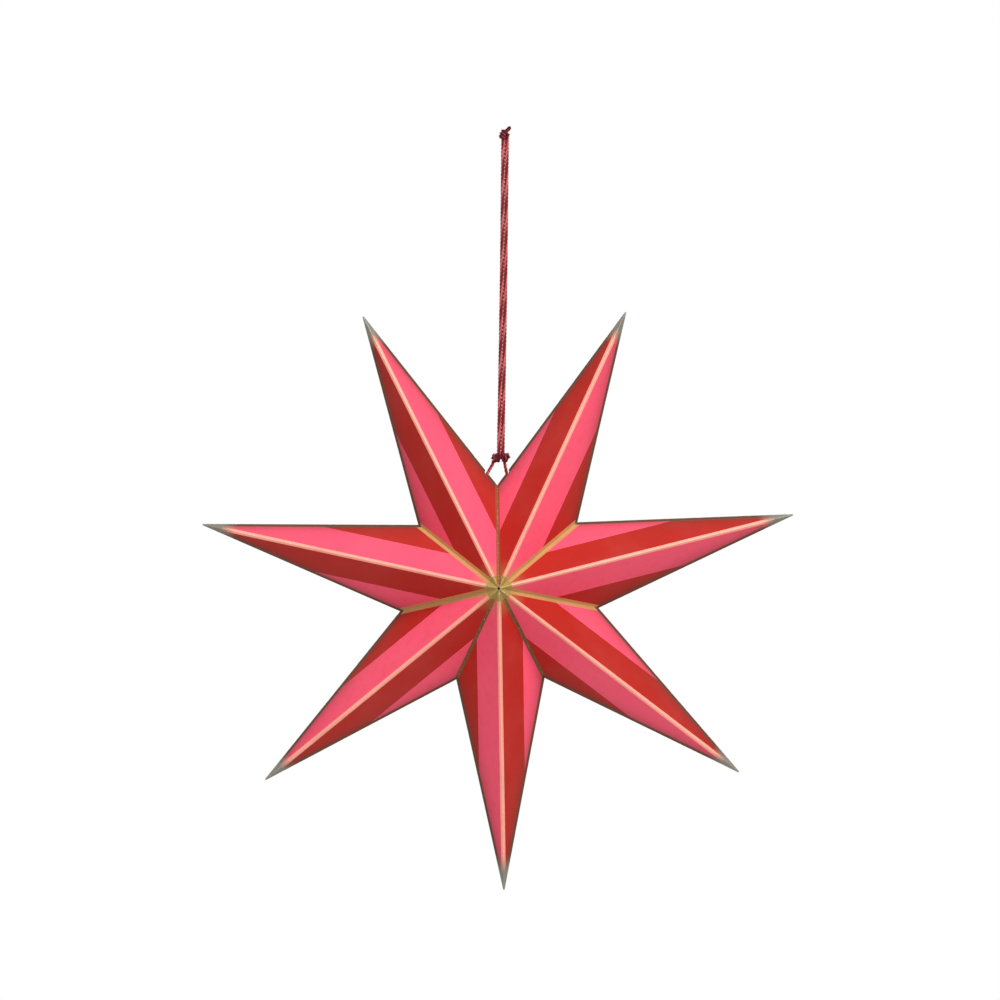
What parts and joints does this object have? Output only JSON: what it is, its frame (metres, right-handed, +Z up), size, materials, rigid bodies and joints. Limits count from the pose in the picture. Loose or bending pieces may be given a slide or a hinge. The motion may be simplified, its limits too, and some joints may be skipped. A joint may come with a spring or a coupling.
{
  "type": "hanging paper star",
  "caption": "Hollow folded card star with striped rays, tied shut at its top notch and hung on a doubled cord. It folds flat like a fan.",
  "frame": {"origin": "the middle of the knot at the top of the cord, where the hook holds it", "axes": "+Z up, +Y from the front of the star to its rear, +X to the right seen from the front"},
  "size_m": [0.4408, 0.0986, 0.5685],
  "materials": {
    "pink_print": "matt printed card, pink and red stripes with gold lines",
    "red_print": "matt printed card, red and pink stripes with gold lines",
    "bare_card": "bare card",
    "cord": "twisted red string",
    "knot": "tightly tied red string"
  },
  "bodies": {
    "hook_end": {"top_knot": "knot"},
    "cord": {"cord_strand_left": "cord", "cord_strand_right": "cord"},
    "tie": {"lower_knot": "knot"},
    "ray_1_front_left": {"ray_1_front_left": "pink_print", "cord_bight": "cord"},
    "ray_1_front_right": {"ray_1_front_right": "red_print"},
    "ray_1_rear_left": {"ray_1_rear_left": "pink_print"},
    "ray_1_rear_right": {"ray_1_rear_right": "red_print"},
    "ray_2_front_left": {"ray_2_front_left": "pink_print"},
    "ray_2_front_right": {"ray_2_front_right": "red_print"},
    "ray_2_rear_left": {"ray_2_rear_left": "pink_print"},
    "ray_2_rear_right": {"ray_2_rear_right": "red_print"},
    "ray_3_front_left": {"ray_3_front_left": "pink_print"},
    "ray_3_front_right": {"ray_3_front_right": "red_print"},
    "ray_3_rear_left": {"ray_3_rear_left": "pink_print"},
    "ray_3_rear_right": {"ray_3_rear_right": "red_print"},
    "ray_4_front_left": {"ray_4_front_left": "pink_print"},
    "ray_4_front_right": {"ray_4_front_right": "red_print"},
    "ray_4_rear_left": {"ray_4_rear_left": "pink_print"},
    "ray_4_rear_right": {"ray_4_rear_right": "red_print"},
    "ray_5_front_left": {"ray_5_front_left": "pink_print"},
    "ray_5_front_right": {"ray_5_front_right": "red_print"},
    "ray_5_rear_left": {"ray_5_rear_left": "pink_print"},
    "ray_5_rear_right": {"ray_5_rear_right": "red_print"},
    "ray_6_front_left": {"ray_6_front_left": "pink_print"},
    "ray_6_front_right": {"ray_6_front_right": "red_print"},
    "ray_6_rear_left": {"ray_6_rear_left": "pink_print"},
    "ray_6_rear_right": {"ray_6_rear_right": "red_print"},
    "ray_7_front_left": {"ray_7_front_left": "pink_print"},
    "ray_7_front_right": {"ray_7_front_right": "red_print"},
    "ray_7_rear_left": {"ray_7_rear_left": "pink_print"},
    "ray_7_rear_right": {"ray_7_rear_right": "red_print"},
    "front_fin_1": {"front_fin_1": "bare_card"},
    "rear_fin_1": {"rear_fin_1": "bare_card"},
    "front_fin_2": {"front_fin_2": "bare_card"},
    "rear_fin_2": {"rear_fin_2": "bare_card"},
    "front_fin_3": {"front_fin_3": "bare_card"},
    "rear_fin_3": {"rear_fin_3": "bare_card"},
    "front_fin_4": {"front_fin_4": "bare_card"},
    "rear_fin_4": {"rear_fin_4": "bare_card"},
    "front_fin_5": {"front_fin_5": "bare_card"},
    "rear_fin_5": {"rear_fin_5": "bare_card"},
    "front_fin_6": {"front_fin_6": "bare_card"},
    "rear_fin_6": {"rear_fin_6": "bare_card"}
  },
  "joints": [
    {"name": "cord_swing", "type": "hinge", "parent": "hook_end", "child": "cord", "pos_m": [0, 0, 0], "axis": [0, 1, 0], "range_deg": [-45, 45]},
    {"name": "star_turn", "type": "hinge", "parent": "cord", "child": "tie", "pos_m": [0, 0, -0.242], "axis": [0, 0, 1], "range_deg": [-180, 180]},
    {"name": "star_nod", "type": "hinge", "parent": "tie", "child": "ray_1_front_left", "pos_m": [0, 0, -0.242], "axis": [1, 0, 0], "range_deg": [-20, 20]},
    {"name": "fold", "type": "hinge", "parent": "ray_1_front_left", "child": "ray_1_front_right", "pos_m": [0, -0.05, -0.339], "axis": [0.3967, 0.2151, 0.8924], "range_deg": [0, 87.54], "deforming": ["cord_bight"]},
    {"name": "ray_1_left_edge_crease", "type": "hinge", "parent": "ray_1_front_left", "child": "ray_1_rear_left", "pos_m": [-0.00231, 0, -0.26354], "axis": [0.5822, 0, 0.813], "range_deg": [0, 84.99]},
    {"name": "ray_1_right_edge_crease", "type": "hinge", "parent": "ray_1_front_right", "child": "ray_1_rear_right", "pos_m": [0.05756, 0, -0.29015], "axis": [-0.2134, 0, -0.977], "range_deg": [0, 84.99]},
    {"name": "notch_1_crease", "type": "hinge", "parent": "ray_1_front_right", "child": "ray_2_front_left", "pos_m": [0.05793, -0.00072, -0.28984], "axis": [-0.6357, -0.5521, -0.5395], "range_deg": [0, 108.24]},
    {"name": "front_fin_1_crease", "type": "hinge", "parent": "ray_1_front_right", "child": "front_fin_1", "pos_m": [0.05793, -0.00072, -0.28984], "axis": [-0.6357, -0.5521, -0.5395], "range_deg": [0, 54.12]},
    {"name": "rear_fin_1_crease", "type": "hinge", "parent": "ray_1_rear_right", "child": "rear_fin_1", "pos_m": [0.05793, 0.00072, -0.28984], "axis": [0.6357, -0.5521, 0.5395], "range_deg": [0, 54.12]},
    {"name": "ray_2_ridge_crease", "type": "hinge", "parent": "ray_2_front_left", "child": "ray_2_front_right", "pos_m": [0, -0.05, -0.339], "axis": [0.945, 0.2151, 0.2463], "range_deg": [0, 87.54]},
    {"name": "ray_2_left_edge_crease", "type": "hinge", "parent": "ray_2_front_left", "child": "ray_2_rear_left", "pos_m": [0.05756, 0, -0.29015], "axis": [0.9987, 0, 0.0517], "range_deg": [0, 84.99]},
    {"name": "ray_2_right_edge_crease", "type": "hinge", "parent": "ray_2_front_right", "child": "ray_2_rear_right", "pos_m": [0.07409, 0, -0.35354], "axis": [-0.8969, 0, -0.4423], "range_deg": [0, 84.99]},
    {"name": "notch_2_crease", "type": "hinge", "parent": "ray_2_front_right", "child": "ray_3_front_left", "pos_m": [0.07455, -0.00072, -0.35364], "axis": [-0.8181, -0.5521, 0.1606], "range_deg": [0, 108.24]},
    {"name": "front_fin_2_crease", "type": "hinge", "parent": "ray_2_front_right", "child": "front_fin_2", "pos_m": [0.07455, -0.00072, -0.35364], "axis": [-0.8181, -0.5521, 0.1606], "range_deg": [0, 54.12]},
    {"name": "rear_fin_2_crease", "type": "hinge", "parent": "ray_2_rear_right", "child": "rear_fin_2", "pos_m": [0.07455, 0.00072, -0.35364], "axis": [0.8181, -0.5521, -0.1606], "range_deg": [0, 54.12]},
    {"name": "ray_3_ridge_crease", "type": "hinge", "parent": "ray_3_front_left", "child": "ray_3_front_right", "pos_m": [0, -0.05, -0.339], "axis": [0.7818, 0.2151, -0.5853], "range_deg": [0, 87.54]},
    {"name": "ray_3_left_edge_crease", "type": "hinge", "parent": "ray_3_front_left", "child": "ray_3_rear_left", "pos_m": [0.07409, 0, -0.35354], "axis": [0.6631, 0, -0.7485], "range_deg": [0, 84.99]},
    {"name": "ray_3_right_edge_crease", "type": "hinge", "parent": "ray_3_front_right", "child": "ray_3_rear_right", "pos_m": [0.03482, 0, -0.40599], "axis": [-0.905, 0, 0.4254], "range_deg": [0, 84.99]},
    {"name": "notch_3_crease", "type": "hinge", "parent": "ray_3_front_right", "child": "ray_4_front_left", "pos_m": [0.03504, -0.00072, -0.40641], "axis": [-0.3845, -0.5521, 0.7398], "range_deg": [0, 108.24]},
    {"name": "front_fin_3_crease", "type": "hinge", "parent": "ray_3_front_right", "child": "front_fin_3", "pos_m": [0.03504, -0.00072, -0.40641], "axis": [-0.3845, -0.5521, 0.7398], "range_deg": [0, 54.12]},
    {"name": "rear_fin_3_crease", "type": "hinge", "parent": "ray_3_rear_right", "child": "rear_fin_3", "pos_m": [0.03504, 0.00072, -0.40641], "axis": [0.3845, -0.5521, -0.7398], "range_deg": [0, 54.12]},
    {"name": "ray_4_ridge_crease", "type": "hinge", "parent": "ray_4_front_left", "child": "ray_4_front_right", "pos_m": [0, -0.05, -0.339], "axis": [0.0298, 0.2151, -0.9761], "range_deg": [0, 87.54]},
    {"name": "ray_4_left_edge_crease", "type": "hinge", "parent": "ray_4_front_left", "child": "ray_4_rear_left", "pos_m": [0.03482, 0, -0.40599], "axis": [-0.1718, 0, -0.9851], "range_deg": [0, 84.99]},
    {"name": "ray_4_right_edge_crease", "type": "hinge", "parent": "ray_4_front_right", "child": "ray_4_rear_right", "pos_m": [-0.03067, 0, -0.40799], "axis": [-0.2316, 0, 0.9728], "range_deg": [0, 84.99]},
    {"name": "notch_4_crease", "type": "hinge", "parent": "ray_4_front_right", "child": "ray_5_front_left", "pos_m": [-0.03086, -0.00072, -0.40843], "axis": [0.3386, -0.5521, 0.7619], "range_deg": [0, 108.24]},
    {"name": "front_fin_4_crease", "type": "hinge", "parent": "ray_4_front_right", "child": "front_fin_4", "pos_m": [-0.03086, -0.00072, -0.40843], "axis": [0.3386, -0.5521, 0.7619], "range_deg": [0, 54.12]},
    {"name": "rear_fin_4_crease", "type": "hinge", "parent": "ray_4_rear_right", "child": "rear_fin_4", "pos_m": [-0.03086, 0.00072, -0.40843], "axis": [-0.3386, -0.5521, -0.7619], "range_deg": [0, 54.12]},
    {"name": "ray_5_ridge_crease", "type": "hinge", "parent": "ray_5_front_left", "child": "ray_5_front_right", "pos_m": [0, -0.05, -0.339], "axis": [-0.7446, 0.2151, -0.6319], "range_deg": [0, 87.54]},
    {"name": "ray_5_left_edge_crease", "type": "hinge", "parent": "ray_5_front_left", "child": "ray_5_rear_left", "pos_m": [-0.03067, 0, -0.40799], "axis": [-0.8773, 0, -0.4799], "range_deg": [0, 84.99]},
    {"name": "ray_5_right_edge_crease", "type": "hinge", "parent": "ray_5_front_right", "child": "ray_5_rear_right", "pos_m": [-0.07306, 0, -0.35804], "axis": [0.6161, 0, 0.7876], "range_deg": [0, 84.99]},
    {"name": "notch_5_crease", "type": "hinge", "parent": "ray_5_front_right", "child": "ray_6_front_left", "pos_m": [-0.07352, -0.00072, -0.35816], "axis": [0.8068, -0.5521, 0.2103], "range_deg": [0, 108.24]},
    {"name": "front_fin_5_crease", "type": "hinge", "parent": "ray_5_front_right", "child": "front_fin_5", "pos_m": [-0.07352, -0.00072, -0.35816], "axis": [0.8068, -0.5521, 0.2103], "range_deg": [0, 54.12]},
    {"name": "rear_fin_5_crease", "type": "hinge", "parent": "ray_5_rear_right", "child": "rear_fin_5", "pos_m": [-0.07352, 0.00072, -0.35816], "axis": [-0.8068, -0.5521, -0.2103], "range_deg": [0, 54.12]},
    {"name": "ray_6_ridge_crease", "type": "hinge", "parent": "ray_6_front_left", "child": "ray_6_front_right", "pos_m": [0, -0.05, -0.339], "axis": [-0.9583, 0.2151, 0.1881], "range_deg": [0, 87.54]},
    {"name": "ray_6_left_edge_crease", "type": "hinge", "parent": "ray_6_front_left", "child": "ray_6_rear_left", "pos_m": [-0.07306, 0, -0.35804], "axis": [-0.9222, 0, 0.3867], "range_deg": [0, 84.99]},
    {"name": "ray_6_right_edge_crease", "type": "hinge", "parent": "ray_6_front_right", "child": "ray_6_rear_right", "pos_m": [-0.06044, 0, -0.29375], "axis": [1, 0, 0.0094], "range_deg": [0, 84.99]},
    {"name": "notch_6_crease", "type": "hinge", "parent": "ray_6_front_right", "child": "ray_7_front_left", "pos_m": [-0.06082, -0.00072, -0.29347], "axis": [0.6674, -0.5521, -0.4997], "range_deg": [0, 108.24]},
    {"name": "front_fin_6_crease", "type": "hinge", "parent": "ray_6_front_right", "child": "front_fin_6", "pos_m": [-0.06082, -0.00072, -0.29347], "axis": [0.6674, -0.5521, -0.4997], "range_deg": [0, 54.12]},
    {"name": "rear_fin_6_crease", "type": "hinge", "parent": "ray_6_rear_right", "child": "rear_fin_6", "pos_m": [-0.06082, 0.00072, -0.29347], "axis": [-0.6674, -0.5521, 0.4997], "range_deg": [0, 54.12]},
    {"name": "ray_7_ridge_crease", "type": "hinge", "parent": "ray_7_front_left", "child": "ray_7_front_right", "pos_m": [0, -0.05, -0.339], "axis": [-0.4504, 0.2151, 0.8665], "range_deg": [0, 87.54]},
    {"name": "ray_7_left_edge_crease", "type": "hinge", "parent": "ray_7_front_left", "child": "ray_7_rear_left", "pos_m": [-0.06044, 0, -0.29375], "axis": [-0.2726, 0, 0.9621], "range_deg": [0, 84.99]},
    {"name": "ray_7_right_edge_crease", "type": "hinge", "parent": "ray_7_front_right", "child": "ray_7_rear_right", "pos_m": [-0.00231, 0, -0.26354], "axis": [0.6308, 0, -0.776], "range_deg": [0, 84.99]}
  ],
  "couplings": [
    {"joint": "ray_1_left_edge_crease", "follows": "fold", "ratio": 0.97095},
    {"joint": "ray_1_right_edge_crease", "follows": "fold", "ratio": 0.97095},
    {"joint": "notch_1_crease", "follows": "fold", "ratio": 1.2365},
    {"joint": "front_fin_1_crease", "follows": "fold", "ratio": 0.61827},
    {"joint": "rear_fin_1_crease", "follows": "fold", "ratio": 0.61827},
    {"joint": "ray_2_ridge_crease", "follows": "fold", "ratio": 1},
    {"joint": "ray_2_left_edge_crease", "follows": "fold", "ratio": 0.97095},
    {"joint": "ray_2_right_edge_crease", "follows": "fold", "ratio": 0.97095},
    {"joint": "notch_2_crease", "follows": "fold", "ratio": 1.2365},
    {"joint": "front_fin_2_crease", "follows": "fold", "ratio": 0.61827},
    {"joint": "rear_fin_2_crease", "follows": "fold", "ratio": 0.61827},
    {"joint": "ray_3_ridge_crease", "follows": "fold", "ratio": 1},
    {"joint": "ray_3_left_edge_crease", "follows": "fold", "ratio": 0.97095},
    {"joint": "ray_3_right_edge_crease", "follows": "fold", "ratio": 0.97095},
    {"joint": "notch_3_crease", "follows": "fold", "ratio": 1.2365},
    {"joint": "front_fin_3_crease", "follows": "fold", "ratio": 0.61827},
    {"joint": "rear_fin_3_crease", "follows": "fold", "ratio": 0.61827},
    {"joint": "ray_4_ridge_crease", "follows": "fold", "ratio": 1},
    {"joint": "ray_4_left_edge_crease", "follows": "fold", "ratio": 0.97095},
    {"joint": "ray_4_right_edge_crease", "follows": "fold", "ratio": 0.97095},
    {"joint": "notch_4_crease", "follows": "fold", "ratio": 1.2365},
    {"joint": "front_fin_4_crease", "follows": "fold", "ratio": 0.61827},
    {"joint": "rear_fin_4_crease", "follows": "fold", "ratio": 0.61827},
    {"joint": "ray_5_ridge_crease", "follows": "fold", "ratio": 1},
    {"joint": "ray_5_left_edge_crease", "follows": "fold", "ratio": 0.97095},
    {"joint": "ray_5_right_edge_crease", "follows": "fold", "ratio": 0.97095},
    {"joint": "notch_5_crease", "follows": "fold", "ratio": 1.2365},
    {"joint": "front_fin_5_crease", "follows": "fold", "ratio": 0.61827},
    {"joint": "rear_fin_5_crease", "follows": "fold", "ratio": 0.61827},
    {"joint": "ray_6_ridge_crease", "follows": "fold", "ratio": 1},
    {"joint": "ray_6_left_edge_crease", "follows": "fold", "ratio": 0.97095},
    {"joint": "ray_6_right_edge_crease", "follows": "fold", "ratio": 0.97095},
    {"joint": "notch_6_crease", "follows": "fold", "ratio": 1.2365},
    {"joint": "front_fin_6_crease", "follows": "fold", "ratio": 0.61827},
    {"joint": "rear_fin_6_crease", "follows": "fold", "ratio": 0.61827},
    {"joint": "ray_7_ridge_crease", "follows": "fold", "ratio": 1},
    {"joint": "ray_7_left_edge_crease", "follows": "fold", "ratio": 0.97095},
    {"joint": "ray_7_right_edge_crease", "follows": "fold", "ratio": 0.97095}
  ]
}
